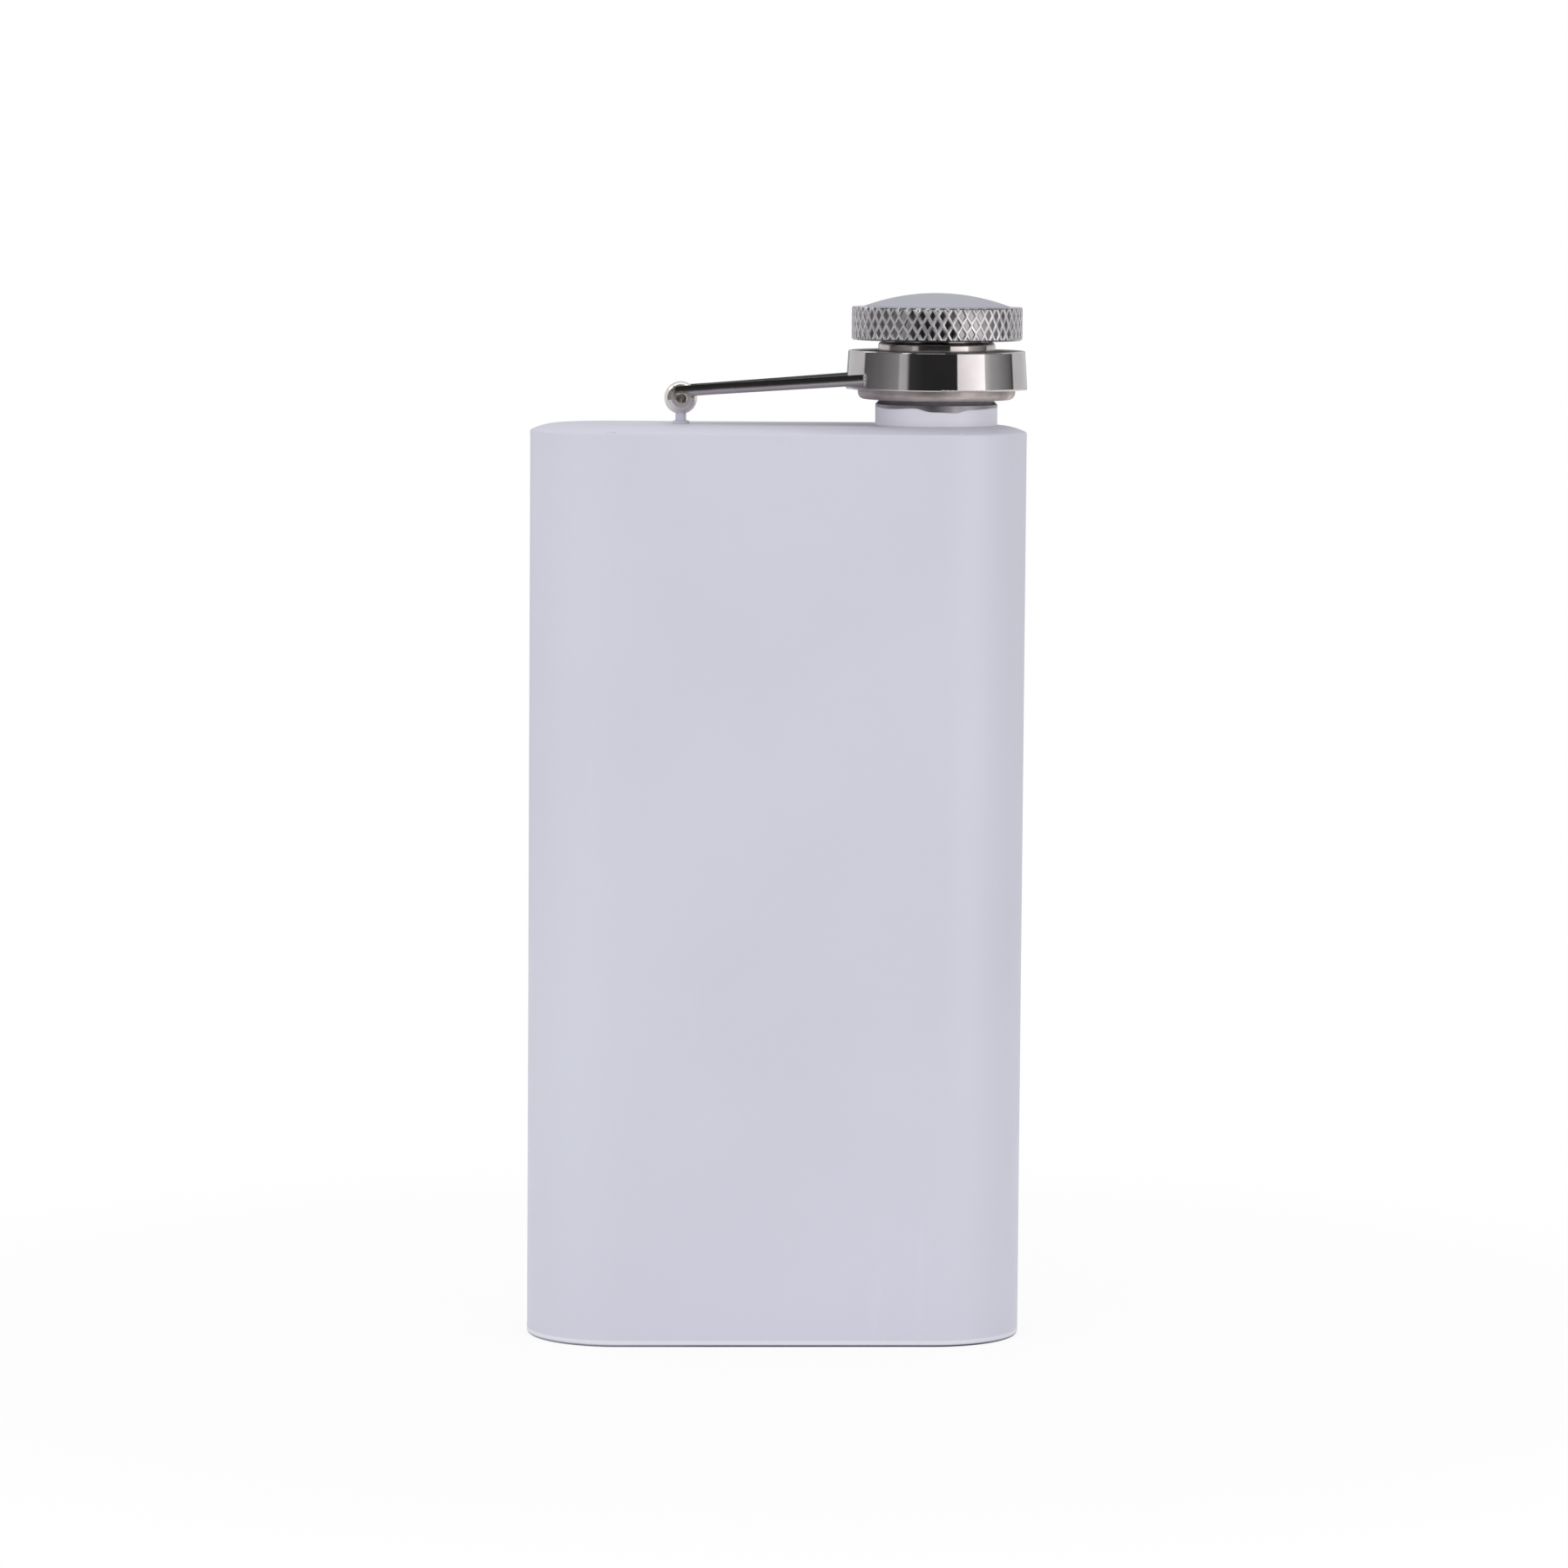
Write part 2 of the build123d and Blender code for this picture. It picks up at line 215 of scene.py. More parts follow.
class Shader(NodeSet):
    """A material's nodes, which read the object's own coordinates."""

    def __init__(self, name: str) -> None:
        """Starts an empty material of that name."""
        self.material = bpy.data.materials.new(name)
        self.material.use_nodes = True
        super().__init__(self.material.node_tree)
        self.place = self.node("ShaderNodeTexCoord").outputs["Object"]

    def stretched(self, scale: Triple, shift: Triple = ORIGIN) -> Socket:
        """Returns object coordinates moved back by shift and then stretched by scale."""
        moved = self.node("ShaderNodeVectorMath", {0: self.place, 1: shift}, operation="SUBTRACT")
        return self.node("ShaderNodeMapping", {0: moved.outputs[0], "Scale": scale}).outputs["Vector"]

    def noise(self, size: float, detail: float = MEDIUM_DETAIL, vector: Socket | None = None) -> Socket:
        """Returns soft noise whose patches are about as large as size, in the vector's unit."""
        inputs = {"Vector": vector or self.place, "Scale": 1.0 / size, "Detail": detail}
        return self.node("ShaderNodeTexNoise", inputs).outputs["Fac"]

    def streaks(self, scale: Triple, detail: float = MEDIUM_DETAIL) -> Socket:
        """Returns noise that changes about as often in a metre along each axis as scale says."""
        return self.noise(1.0, detail, self.stretched(scale))

    def height(self) -> Socket:
        """Returns the height above the surface that the flask stands on."""
        return self.part(self.place, Axis.Z)

    def bump(self, relief: Socket, depth: float, over: Socket | None = None) -> Socket:
        """Returns a normal that follows a relief of that depth, in metres, over an optional one."""
        inputs = {"Height": relief, "Distance": depth, "Strength": 1.0, **({"Normal": over} if over else {})}
        return self.node("ShaderNodeBump", inputs).outputs["Normal"]

    def relieved(self, inputs: Inputs, relief: Socket, depth: float) -> Inputs:
        """Returns a finish's inputs with a relief of that depth laid over the normal."""
        return {**inputs, "Normal": self.bump(relief, depth, inputs["Normal"])}

    def dulled(self, inputs: Inputs, least: Socket) -> Inputs:
        """Returns a finish's inputs with a roughness of at least that much."""
        return {**inputs, "Roughness": self.math(Maths.MAXIMUM, inputs["Roughness"], least)}


@dataclass(frozen=True)
class Finish(ABC):
    """What every finish has: a name, and a way to become a material."""

    name: str

    @abstractmethod
    def shade(self, shader: Shader) -> Inputs:
        """Returns the finish's Principled inputs, by input name."""

    def material(self) -> bpy.types.Material:
        """Builds the finish.

        Returns:
            The finish as a material.
        """
        shader = Shader(self.name)
        surface = shader.node("ShaderNodeBsdfPrincipled", self.shade(shader))
        shader.node("ShaderNodeOutputMaterial", {"Surface": surface.outputs[0]})
        return shader.material


@dataclass(frozen=True)
class SatinPaint(Finish):
    """Sprayed satin paint: orange peel, drifting tone, dust specks and handling streaks."""

    colour: Colour
    roughness: float = 0.44
    roughness_change: float = 0.04
    gloss_patch: float = 17 * MM
    tone_change: float = 0.012
    tone_patch: float = 38 * MM
    patch_span: Span = (0.3, 0.7)
    peel_size: float = 1.1 * MM
    peel_detail: float = 1.5
    peel_depth: float = 0.006 * MM
    speck_spacing: float = 9.0 * MM
    speck_edge: Span = (0.045, 0.015)
    speck_choice: Span = (0.62, 0.66)
    speck_tone: float = 0.86
    speck_strength: float = 0.8
    speck_depth: float = 0.03 * MM
    rub_scale: Triple = (260.0, 260.0, 22.0)
    rub_span: Span = (0.60, 0.72)
    rub_zone: float = 26 * MM
    rub_zone_span: Span = (0.56, 0.68)
    rub_tone: float = 1.05
    rub_strength: float = 0.6

    def specks(self, shader: Shader) -> Socket:
        """Scatters the dust specks; speck_edge is in shares of their spacing.

        Args:
            shader: the material's nodes.

        Returns:
            1 on a speck and 0 elsewhere.
        """
        inputs = {"Vector": shader.place, "Scale": 1.0 / self.speck_spacing, "Randomness": 1.0}
        dust = shader.node("ShaderNodeTexVoronoi", inputs)
        chosen = shader.spread(dust.outputs["Color"], self.speck_choice)
        spot = shader.spread(dust.outputs["Distance"], self.speck_edge)
        return shader.times(spot, chosen)

    def rubs(self, shader: Shader) -> Socket:
        """Draws the upright streaks that handling leaves in some places.

        Args:
            shader: the material's nodes.

        Returns:
            1 in a streak and 0 elsewhere.
        """
        streak = shader.spread(shader.streaks(self.rub_scale, FINE_DETAIL), self.rub_span)
        zone = shader.spread(shader.noise(self.rub_zone, SOFT_DETAIL), self.rub_zone_span)
        return shader.times(streak, zone)

    def shade(self, shader: Shader) -> Inputs:
        """Puts the tone, the specks, the streaks and the peel together.

        Args:
            shader: the material's nodes.

        Returns:
            The Principled inputs.
        """
        drift = shader.spread(shader.noise(self.tone_patch, SOFT_DETAIL), self.patch_span)
        dark = toned(self.colour, 1 - self.tone_change)
        light = toned(self.colour, 1 + self.tone_change)
        colour = shader.mix(drift, dark, light)
        speck = self.specks(shader)
        speck_share = shader.times(speck, self.speck_strength)
        colour = shader.mix(speck_share, colour, toned(self.colour, self.speck_tone))
        rub_share = shader.times(self.rubs(shader), self.rub_strength)
        colour = shader.mix(rub_share, colour, toned(self.colour, self.rub_tone))
        gloss = (self.roughness - self.roughness_change, self.roughness + self.roughness_change)
        peel = shader.bump(shader.noise(self.peel_size, self.peel_detail), self.peel_depth)
        return {
            "Base Color": colour,
            "Roughness": shader.spread(shader.noise(self.gloss_patch), self.patch_span, gloss),
            "Normal": shader.bump(speck, self.speck_depth, peel),
            "Specular IOR Level": 0.5,
            "Metallic": 0.0,
        }


@dataclass(frozen=True)
class StandingPaint(SatinPaint):
    """Paint with the line where the flask stands: a painted highlight along its rounded edge, and a painted
    contact shadow below it.
    """

    # The first four fields set a painted highlight on the rounded edge; the other five set a painted contact
    # shadow below it.
    edge_highlight_low: Span = (0.34 * MM, 0.68 * MM)
    edge_highlight_high: Span = (1.224 * MM, 0.748 * MM)
    edge_highlight_colour: Colour = (0.92, 0.92, 0.95)
    edge_highlight_strength: float = 0.55
    contact_shadow_height: Span = (0.442 * MM, 0.238 * MM)
    contact_shadow_colour: Colour = (0.045, 0.045, 0.07)
    contact_shadow_patch: float = 24 * MM
    contact_shadow_span: Span = (0.25, 0.6)
    contact_shadow_strength: Span = (0.7, 1.0)

    def shade(self, shader: Shader) -> Inputs:
        """Adds the painted highlight and the painted contact shadow to the paint.

        Args:
            shader: the material's nodes.

        Returns:
            The Principled inputs.
        """
        inputs = super().shade(shader)
        height = shader.height()
        # Painted highlight: a lighter band on the base's rounded edge, above the standing line.
        above_line = shader.spread(height, self.edge_highlight_low)
        below_face = shader.spread(height, self.edge_highlight_high)
        painted_edge_highlight = shader.times(above_line, below_face, self.edge_highlight_strength)
        colour = shader.mix(painted_edge_highlight, inputs["Base Color"], self.edge_highlight_colour)
        # Painted contact shadow: a dark band at the very bottom, stronger in some patches.
        patches = shader.noise(self.contact_shadow_patch, SOFT_DETAIL)
        strength = shader.spread(patches, self.contact_shadow_span, self.contact_shadow_strength)
        painted_contact_shadow = shader.times(shader.spread(height, self.contact_shadow_height), strength)
        return {**inputs, "Base Color": shader.mix(painted_contact_shadow, colour, self.contact_shadow_colour)}


@dataclass(frozen=True)
class Steel(Finish):
    """Polished stainless steel: fine scratches, cloudy gloss and a faint handled tone."""

    colour: Colour
    roughness: float = 0.07
    cloudiness: float = 1.0
    cloud_size: float = 2.2 * MM
    cloud_span: Span = (0.3, 0.75)
    cloud_change: Span = (-0.20, 0.35)
    scratch_depth: float = 0.0012 * MM
    scratch_scale: Triple = (900.0, 900.0, 5200.0)
    stain: float = 0.06
    stain_size: float = 4 * MM
    stain_span: Span = (0.35, 0.65)

    def shade(self, shader: Shader) -> Inputs:
        """Puts the stain, the clouds and the scratches together.

        Args:
            shader: the material's nodes.

        Returns:
            The Principled inputs.
        """
        handled = shader.spread(shader.noise(self.stain_size, FINE_DETAIL), self.stain_span)
        least, most = (self.roughness * (1 + change * self.cloudiness) for change in self.cloud_change)
        cloud = shader.noise(self.cloud_size, FINE_DETAIL)
        return {
            "Base Color": shader.mix(handled, toned(self.colour, 1 - self.stain), self.colour),
            "Roughness": shader.spread(cloud, self.cloud_span, (least, most)),
            "Normal": shader.bump(shader.streaks(self.scratch_scale), self.scratch_depth),
            "Metallic": 1.0,
        }


@dataclass(frozen=True)
class DentedSteel(Steel):
    """Steel with the shallow dents of a rivet's hammered head."""

    dent_size: float = 0.6 * MM
    dent_depth: float = 0.13 * MM

    def shade(self, shader: Shader) -> Inputs:
        """Returns the steel's inputs with the dents laid over the normal."""
        dents = shader.noise(self.dent_size, SOFT_DETAIL)
        return shader.relieved(super().shade(shader), dents, self.dent_depth)


@dataclass(frozen=True, kw_only=True)
class FacedSteel(Steel):
    """Polished steel whose flat top is left as it was turned."""

    face_height: float
    face_blend: Span = (0.03 * MM, 0.01 * MM)
    face_roughness: float = 0.5

    def shade(self, shader: Shader) -> Inputs:
        """Returns the steel's inputs with a duller top."""
        blend = under(self.face_height, self.face_blend)
        dull = shader.spread(shader.height(), blend, (0.0, self.face_roughness))
        return shader.dulled(super().shade(shader), dull)


@dataclass(frozen=True, kw_only=True)
class TurnedSteel(Steel):
    """Steel turned on a lathe: fine rings about an upright axis."""

    axis: Place
    ring_pitch: float = 0.16 * MM
    ring_depth: float = 0.004 * MM

    def radius(self, shader: Shader) -> Socket:
        """Returns the distance from the axis."""
        return shader.length(shader.stretched((1.0, 1.0, 0.0), (*self.axis, 0.0)))

    def rings(self, shader: Shader) -> Socket:
        """Returns the rings' wave, which runs outwards on a flat face and upwards on a side."""
        along = shader.math(Maths.ADD, self.radius(shader), shader.height())
        return shader.math(Maths.SINE, shader.times(along, 2 * pi / self.ring_pitch))

    def shade(self, shader: Shader) -> Inputs:
        """Returns the steel's inputs with the rings laid over the normal."""
        return shader.relieved(super().shade(shader), self.rings(shader), self.ring_depth)


@dataclass(frozen=True, kw_only=True)
class KnurledSteel(TurnedSteel):
    """Turned steel with a knurled rim: satin tips and top, and shinier recesses whose colour is darkened as
    painted shade.
    """

    tip_radius: float
    tip_blend: float = 0.09 * MM
    top: float
    top_blend: Span = (0.06 * MM, 0.01 * MM)
    # painted shade: how much the recesses' colour is darkened
    recess_shade_strength: float = 0.60
    recess_roughness: float = -0.34

    def shade(self, shader: Shader) -> Inputs:
        """Adds the recesses to the steel: painted shade in their colour, and less roughness.

        Args:
            shader: the material's nodes.

        Returns:
            The Principled inputs.
        """
        inputs = super().shade(shader)
        # Painted shade: inside the tips and below the top (the knurl's pits, the head's underside and hub)
        # the colour is darkened.
        on_tip = shader.spread(self.radius(shader), (self.tip_radius, self.tip_radius + self.tip_blend))
        on_top = shader.spread(shader.height(), under(self.top, self.top_blend))
        unshaded = shader.math(Maths.MAXIMUM, on_tip, on_top)
        recess_shade_colour = toned(self.colour, 1 - self.recess_shade_strength)
        inputs["Base Color"] = shader.mix(unshaded, recess_shade_colour, inputs["Base Color"])
        change = shader.times(shader.math(Maths.SUBTRACT, 1.0, unshaded), self.recess_roughness)
        inputs["Roughness"] = shader.math(Maths.ADD, inputs["Roughness"], change)
        return inputs


@dataclass(frozen=True, kw_only=True)
class BallSteel(Steel):
    """Polished steel whose two flat sides mirror as roundly as the ball they were cut from."""

    centre: Place
    side: float = 1.6 * MM
    side_blend: Span = (0.02 * MM, 0.005 * MM)
    dome_radius: float = 1.86 * MM
    dome_rise: float = 0.26 * MM

    def domes(self, shader: Shader) -> Socket:
        """Works out a dome on each side, as a parabola in millimetres.

        Args:
            shader: the material's nodes.

        Returns:
            The domes' relief.
        """
        centre_x, centre_z = self.centre
        offset = shader.stretched((1.0, 0.0, 1.0), (centre_x, 0.0, centre_z))
        reach = shader.times(shader.length(offset), 1.0 / MM)
        relief = shader.math(Maths.SUBTRACT, (self.dome_radius / MM) ** 2, shader.times(reach, reach))
        aside = shader.math(Maths.ABSOLUTE, shader.part(shader.place, Axis.Y))
        on_side = shader.spread(aside, under(self.side, self.side_blend))
        return shader.times(relief, on_side)

    def shade(self, shader: Shader) -> Inputs:
        """Returns the steel's inputs with the domes laid over the normal."""
        return shader.relieved(super().shade(shader), self.domes(shader), self.dome_rise)


@dataclass(frozen=True, kw_only=True)
class BarSteel(Steel):
    """The arm's steel: bright on top, with a front that rounds off and dulls towards its lower edge, and a
    painted dark shade line along its top edge.
    """

    hinge: Place
    slope: float = radians(4.2)
    top: float = 1.85 * MM
    # Painted shade: the next four fields set a dark line along the bar's top edge.
    shade_line_low: Span = (0.18 * MM, 0.144 * MM)
    shade_line_high: Span = (0.014 * MM, 0.004 * MM)
    shade_line_strength: float = 0.95
    shade_line_colour: Colour = (0.02, 0.02, 0.025)
    round_start: float = 1.75 * MM
    rounding: float = 0.08 * MM
    dull_span: Span = (0.6 * MM, 1.6 * MM)
    dull_roughness: float = 0.46

    def bar_height(self, shader: Shader) -> Socket:
        """Measures the height over the hinge, square to the bar's own slope.

        Args:
            shader: the material's nodes.

        Returns:
            The height, in metres.
        """
        hinge_x, hinge_z = self.hinge
        along = shader.math(Maths.SUBTRACT, shader.part(shader.place, Axis.X), hinge_x)
        climb = shader.times(along, tan(self.slope))
        above = shader.math(Maths.SUBTRACT, shader.height(), hinge_z)
        return shader.times(shader.math(Maths.SUBTRACT, above, climb), cos(self.slope))

    def shade(self, shader: Shader) -> Inputs:
        """Adds the rounding, the duller lower part and the painted dark shade line along the top edge.

        Args:
            shader: the material's nodes.

        Returns:
            The Principled inputs.
        """
        height = self.bar_height(shader)
        below = shader.math(Maths.MAXIMUM, shader.math(Maths.SUBTRACT, self.round_start, height), 0.0)
        drop = shader.times(below, 1.0 / MM)
        inputs = shader.relieved(super().shade(shader), shader.times(drop, drop, -1.0), self.rounding)
        inputs = shader.dulled(inputs, shader.spread(height, self.dull_span, (self.dull_roughness, 0.0)))
        # Painted shade: the colour darkens in a thin line just under the top edge.
        low = shader.spread(height, under(self.top, self.shade_line_low))
        high = shader.spread(height, under(self.top, self.shade_line_high), FALLING)
        line = shader.times(low, high, self.shade_line_strength)
        return {**inputs, "Base Color": shader.mix(line, inputs["Base Color"], self.shade_line_colour)}


@dataclass(frozen=True, kw_only=True)
class TwoFinishes(Finish):
    """One finish up to a line at some height, and another above it; the line may sag and wander."""

    below: Finish
    above: Finish
    line_height: float
    line_blur: float = 0.05 * MM
    step: float = 0.05 * MM
    sag: float = 0.0
    sag_place: float = 0.0
    sag_span: Span = (0.0, 1.0 * MM)
    wander: float = 0.3 * MM
    wander_patch: float = 5 * MM
    wander_span: Span = (0.25, 0.75)

    def bare(self, shader: Shader) -> Socket:
        """Draws the line.

        Args:
            shader: the material's nodes.

        Returns:
            0 below the line and 1 above it.
        """
        from_sag = shader.math(Maths.SUBTRACT, shader.part(shader.place, Axis.X), self.sag_place)
        sag = shader.spread(shader.math(Maths.ABSOLUTE, from_sag), self.sag_span, (self.sag, 0.0))
        patches = shader.noise(self.wander_patch, SOFT_DETAIL)
        wander = shader.spread(patches, self.wander_span, (-self.wander, self.wander))
        height = shader.math(Maths.ADD, shader.math(Maths.ADD, shader.height(), sag), wander)
        return shader.spread(height, (self.line_height - self.line_blur, self.line_height + self.line_blur))

    def shade(self, shader: Shader) -> Inputs:
        """Joins both finishes at the line, with a small step down from the lower one.

        Args:
            shader: the material's nodes.

        Returns:
            The Principled inputs of both together.
        """
        below = self.below.shade(shader)
        above = self.above.shade(shader)
        bare = self.bare(shader)
        covered = shader.math(Maths.SUBTRACT, 1.0, bare)
        upper_share = shader.times(bare, above["Roughness"])
        lower_share = shader.times(covered, below["Roughness"])
        normal = shader.mix(bare, below["Normal"], above["Normal"])
        return {
            "Base Color": shader.mix(bare, below["Base Color"], above["Base Color"]),
            "Roughness": shader.math(Maths.ADD, upper_share, lower_share),
            "Metallic": 1.0 if below["Metallic"] else bare,
            "Normal": shader.bump(covered, self.step, normal),
        }


@dataclass(frozen=True)
class SealRubber(Finish):
    """Soft translucent seal with a faint mould grain."""

    colour: Colour
    roughness: float = 0.55
    tone_patch: float = 1.5 * MM
    tone_span: Span = (0.35, 0.65)
    dark_tone: float = 0.9
    grain_size: float = 0.3 * MM
    grain_depth: float = 0.01 * MM
    glow: float = 0.3
    glow_depth: float = 1 * MM

    def shade(self, shader: Shader) -> Inputs:
        """Puts the tone, the grain and the glow together.

        Args:
            shader: the material's nodes.

        Returns:
            The Principled inputs.
        """
        drift = shader.spread(shader.noise(self.tone_patch), self.tone_span)
        return {
            "Base Color": shader.mix(drift, toned(self.colour, self.dark_tone), self.colour),
            "Roughness": self.roughness,
            "Normal": shader.bump(shader.noise(self.grain_size), self.grain_depth),
            "Subsurface Weight": self.glow,
            "Subsurface Radius": (1.0, 1.0, 1.0),
            "Subsurface Scale": self.glow_depth,
        }


def middle_of(node: str) -> Vector:
    """Returns the middle of a CAD node's box."""
    low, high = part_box(node)
    return (low + high) / 2


def axis_of(node: str) -> Place:
    """Returns the X and Y of a round node's own upright axis."""
    middle = middle_of(node)
    return middle.x, middle.y


def deck_height() -> float:
    """Returns the height of the shoulder's top, which carries the neck and the hinge post."""
    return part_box("shoulder_plate")[1].z


def dress_nodes(finish: Finish, *nodes: str) -> None:
    """Gives CAD nodes a finish.

    Args:
        finish: what they are to be made of.
        *nodes: the nodes' names.
    """
    material = finish.material()
    for name in nodes:
        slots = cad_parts[name].data.materials
        slots.clear()
        slots.append(material)
        log.info("dressed %s in %s", name, finish.name)


def new_object(name: str, data: bpy.types.ID) -> bpy.types.Object:
    """Makes an object and puts it in the scene.

    Args:
        name: the object's name.
        data: its mesh, lamp or camera.

    Returns:
        The new object.
    """
    made = bpy.data.objects.new(name, data)
    bpy.context.scene.collection.objects.link(made)
    return made


def mesh_object(name: str, mesh: BMesh) -> bpy.types.Object:
    """Makes an object of a bmesh.

    Args:
        name: the object's name.
        mesh: its shape, in place; it is freed here.

    Returns:
        The new object.
    """
    data = bpy.data.meshes.new(name)
    mesh.to_mesh(data)
    mesh.free()
    return new_object(name, data)


def new_piece(
    name: str, mesh: BMesh, finish: Finish, body: Body, crease: float
) -> bpy.types.Object:
    """Makes a smooth shaded piece of a bmesh and lets it ride on a body.

    Args:
        name: the piece's name.
        mesh: its shape, in place; it is freed here.
        finish: what it is made of.
        body: the body that it moves with.
        crease: how far two faces may turn, in radians, before their edge stays sharp.

    Returns:
        The new object.
    """
    bmesh.ops.recalc_face_normals(mesh, faces=mesh.faces)
    piece = mesh_object(name, mesh)
    piece.data.materials.append(finish.material())
    for face in piece.data.polygons:
        face.use_smooth = True
    piece.data.set_sharp_from_angle(angle=crease)
    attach(piece, body.value)
    log.info("built %s with %d faces", name, len(piece.data.polygons))
    return piece


def whole(mesh: BMesh) -> list:
    """Returns all of a mesh, in the form that an operator's geom takes."""
    return [*mesh.verts, *mesh.edges, *mesh.faces]


def cut_off(mesh: BMesh, point: Triple, outward: Triple) -> None:
    """Cuts away what lies beyond the plane through a point, square to outward."""
    bmesh.ops.bisect_plane(mesh, geom=whole(mesh), plane_co=point, plane_no=outward, clear_outer=True)


def of_kind(parts: Sequence, kind: type) -> list:
    """Returns those parts of an operator's result that are of one kind."""
    return [part for part in parts if isinstance(part, kind)]


def extrude_ring(mesh: BMesh, ring: Edges) -> tuple[Edges, Verts]:
    """Extrudes a ring of edges and returns the new ring's edges and points."""
    made = bmesh.ops.extrude_edge_only(mesh, edges=ring)["geom"]
    return of_kind(made, bmesh.types.BMEdge), of_kind(made, bmesh.types.BMVert)


def set_radius(vert: bmesh.types.BMVert, radius: float) -> None:
    """Moves a point square to the Z axis until it is that far from it."""
    flat = vert.co.to_2d()
    vert.co.xy = flat * (radius / flat.length)


@dataclass
class KnurledHead:
    """The cap's head: a turned disc whose rim is cut with a diamond knurl."""

    diamonds_around: int = 54
    rows: int = 2
    diamond_height: float = 2.67 * MM
    rim_chamfer: float = 0.22 * MM
    ridge_flank: float = 0.28 * MM
    groove_depth: float = 0.15 * MM
    ridge_round: float = 0.17 * MM
    hub_radius: float = 7.8 * MM
    hub_height: float = 0.25 * MM
    seat_radius: float = 10.9 * MM
    seat_depth: float = 0.8 * MM
    screw_pocket_radius: float = 3.6 * MM
    bore_radius: float = 7.05 * MM
    bore_depth: float = 2.25 * MM
    screw_web: float = 1.4 * MM
    screw_hole_radius: float = 1.55 * MM
    weld_distance: float = 0.002 * MM
    crease: float = radians(24)

    def diamonds(self, radius: float, middle: float) -> BMesh:
        """Builds an open band of sunk diamonds about the Z axis, taller than the rim.

        Args:
            radius: the rim's outer radius.
            middle: the height of the rim's middle.

        Returns:
            The band.
        """
        mesh = bmesh.new()
        bmesh.ops.create_circle(mesh, segments=self.diamonds_around, radius=radius)
        start = middle - self.diamond_height * self.rows / 2
        bmesh.ops.translate(mesh, verts=mesh.verts, vec=(0, 0, start))
        ring = list(mesh.edges)
        for _ in range(self.rows):
            ring, verts = extrude_ring(mesh, ring)
            bmesh.ops.translate(mesh, verts=verts, vec=(0, 0, self.diamond_height))
        square_edges = [edge for edge in mesh.edges if not edge.is_boundary]
        bmesh.ops.poke(mesh, faces=mesh.faces)
        for vert in mesh.verts:
            set_radius(vert, radius)
        bmesh.ops.dissolve_edges(mesh, edges=square_edges, use_verts=False)
        bmesh.ops.recalc_face_normals(mesh, faces=mesh.faces)
        ridges = [edge for edge in mesh.edges if not edge.is_boundary]
        sunk = {"thickness": self.ridge_flank, "depth": -self.groove_depth}
        bmesh.ops.inset_individual(mesh, faces=mesh.faces, use_even_offset=True, **sunk)
        bmesh.ops.bevel(
            mesh, geom=ridges, offset=self.ridge_round, segments=2, profile=0.5, affect="EDGES", material=-1
        )
        return mesh

    def trim(self, mesh: BMesh, low: float, high: float) -> tuple[Edges, Edges]:
        """Cuts the band off level at both ends.

        Args:
            mesh: the band.
            low: the height of its lower end.
            high: the height of its upper end.

        Returns:
            The edges of its lower and of its upper end.
        """
        cut_off(mesh, (0, 0, high), (0, 0, 1))
        cut_off(mesh, (0, 0, low), (0, 0, -1))
        middle = (low + high) / 2
        ends = [edge for edge in mesh.edges if edge.is_boundary]
        lower = [edge for edge in ends if edge.verts[0].co.z < middle]
        upper = [edge for edge in ends if edge.verts[0].co.z > middle]
        return lower, upper

    def turn_in(self, mesh: BMesh, ring: Edges, profile: Sequence[tuple[float, float]]) -> None:
        """Carries a ring of edges inwards through a list of (radius, height) steps.

        Args:
            mesh: the bmesh that holds the ring, centred on the Z axis.
            ring: the edges to start from.
            profile: the radius and height of each step.
        """
        for radius, height in profile:
            ring, verts = extrude_ring(mesh, ring)
            for vert in verts:
                set_radius(vert, radius)
                vert.co.z = height

    def build(self, steel: Finish) -> None:
        """Builds the head in place of its CAD node.

        Args:
            steel: the knurled steel.
        """
        low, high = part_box("knurled_head")
        radius = (high.x - low.x) / 2
        head_low = low.z + self.hub_height
        rim_low = head_low + self.rim_chamfer
        rim_high = high.z - self.rim_chamfer
        mesh = self.diamonds(radius, (rim_low + rim_high) / 2)
        lower, upper = self.trim(mesh, rim_low, rim_high)
        seat = high.z - self.seat_depth
        bore_top = low.z + self.bore_depth
        web_top = bore_top + self.screw_web
        top_profile = (
            (radius - self.rim_chamfer, high.z),
            (self.seat_radius, high.z), (self.seat_radius, seat),
            (self.screw_pocket_radius, seat), (self.screw_pocket_radius, web_top),
            (self.screw_hole_radius, web_top), (self.screw_hole_radius, bore_top),
            (self.bore_radius, bore_top), (self.bore_radius, low.z),
        )
        bottom_profile = (
            (radius - self.groove_depth - self.rim_chamfer, head_low),
            (self.hub_radius, head_low), (self.hub_radius, low.z), (self.bore_radius, low.z),
        )
        self.turn_in(mesh, upper, top_profile)
        self.turn_in(mesh, lower, bottom_profile)
        bmesh.ops.remove_doubles(mesh, verts=mesh.verts, dist=self.weld_distance)
        bmesh.ops.translate(mesh, verts=mesh.verts, vec=(*axis_of("knurled_head"), 0))
        piece = new_piece("knurled_head_cut", mesh, steel, Body.CAP, self.crease)
        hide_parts("knurled_head")


